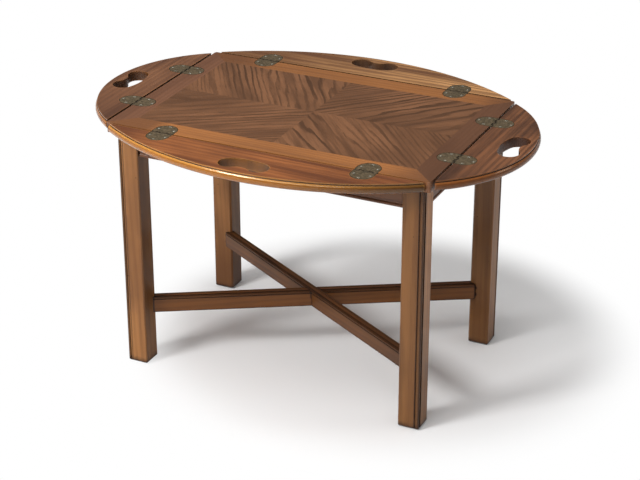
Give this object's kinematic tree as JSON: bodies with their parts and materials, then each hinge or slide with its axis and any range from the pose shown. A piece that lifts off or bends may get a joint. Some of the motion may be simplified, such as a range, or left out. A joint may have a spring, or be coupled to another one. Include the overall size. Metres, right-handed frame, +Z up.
{
  "type": "butler tray table",
  "caption": "Low butler tray table: a veneered rectangular tray with hinged leaves that open to an oval or fold up as pierced sides, on a square-legged stand with a crossed stretcher.",
  "frame": {"origin": "floor level, under the centre of the oval top", "axes": "+X along the length of the oval, -Y towards the front long leaf, +Z up"},
  "size_m": [0.833, 0.61, 0.486],
  "materials": {
    "leg_wood": "satin antiqued varnish",
    "apron_wood": "satin antiqued varnish",
    "stretcher_wood": "satin antiqued varnish",
    "leaf_wood": "semi-gloss varnish",
    "band_wood": "semi-gloss varnish",
    "field_wood": "semi-gloss varnish",
    "core_wood": "stained, matt",
    "inner_wood": "bare wood",
    "hinge_brass": "antiqued",
    "screw_brass": "antiqued",
    "steel": "zinc plated"
  },
  "bodies": {
    "stand": {"leg_front_left": "leg_wood", "leg_front_right": "leg_wood", "leg_back_left": "leg_wood", "leg_back_right": "leg_wood", "apron_front": "apron_wood", "apron_back": "apron_wood", "apron_left": "apron_wood", "apron_right": "apron_wood", "corner_block_front_left": "inner_wood", "corner_block_front_right": "inner_wood", "corner_block_back_left": "inner_wood", "corner_block_back_right": "inner_wood", "stretcher_lower": "stretcher_wood", "stretcher_upper": "stretcher_wood", "stretcher_dowels": "inner_wood", "hanger_bolts": "steel", "hanger_washers": "steel", "hanger_nuts": "steel", "block_screws": "steel"},
    "tray": {"panel_core": "core_wood", "crossband_front": "band_wood", "crossband_back": "band_wood", "crossband_left": "band_wood", "crossband_right": "band_wood", "field_veneer_front_left": "field_wood", "field_veneer_front_right": "field_wood", "field_veneer_back_left": "field_wood", "field_veneer_back_right": "field_wood", "panel_plate_front_left": "hinge_brass", "panel_plate_front_right": "hinge_brass", "panel_plate_back_left": "hinge_brass", "panel_plate_back_right": "hinge_brass", "panel_plate_left_front": "hinge_brass", "panel_plate_left_back": "hinge_brass", "panel_plate_right_front": "hinge_brass", "panel_plate_right_back": "hinge_brass", "hinge_pins": "steel", "panel_plate_screws": "screw_brass", "cleat_left": "inner_wood", "cleat_right": "inner_wood", "cleat_screws": "steel"},
    "leaf_front": {"leaf_front": "leaf_wood", "leaf_plate_front_left": "hinge_brass", "leaf_plate_front_right": "hinge_brass", "leaf_screws_front": "screw_brass"},
    "leaf_back": {"leaf_back": "leaf_wood", "leaf_plate_back_left": "hinge_brass", "leaf_plate_back_right": "hinge_brass", "leaf_screws_back": "screw_brass"},
    "leaf_left": {"leaf_left": "leaf_wood", "leaf_plate_left_front": "hinge_brass", "leaf_plate_left_back": "hinge_brass", "leaf_screws_left": "screw_brass"},
    "leaf_right": {"leaf_right": "leaf_wood", "leaf_plate_right_front": "hinge_brass", "leaf_plate_right_back": "hinge_brass", "leaf_screws_right": "screw_brass"}
  },
  "joints": [
    {"name": "tray_lift", "type": "slide", "parent": "stand", "child": "tray", "axis": [0, 0, 1], "range_m": [0, 0.12]},
    {"name": "leaf_front_fold", "type": "hinge", "parent": "tray", "child": "leaf_front", "pos_m": [0, -0.2054, 0.4838], "axis": [-1, 0, 0], "range_deg": [0, 90]},
    {"name": "leaf_back_fold", "type": "hinge", "parent": "tray", "child": "leaf_back", "pos_m": [0, 0.2054, 0.4838], "axis": [1, 0, 0], "range_deg": [0, 90]},
    {"name": "leaf_left_fold", "type": "hinge", "parent": "tray", "child": "leaf_left", "pos_m": [-0.3124, 0, 0.4838], "axis": [0, 1, 0], "range_deg": [0, 90]},
    {"name": "leaf_right_fold", "type": "hinge", "parent": "tray", "child": "leaf_right", "pos_m": [0.3124, 0, 0.4838], "axis": [0, -1, 0], "range_deg": [0, 90]}
  ]
}
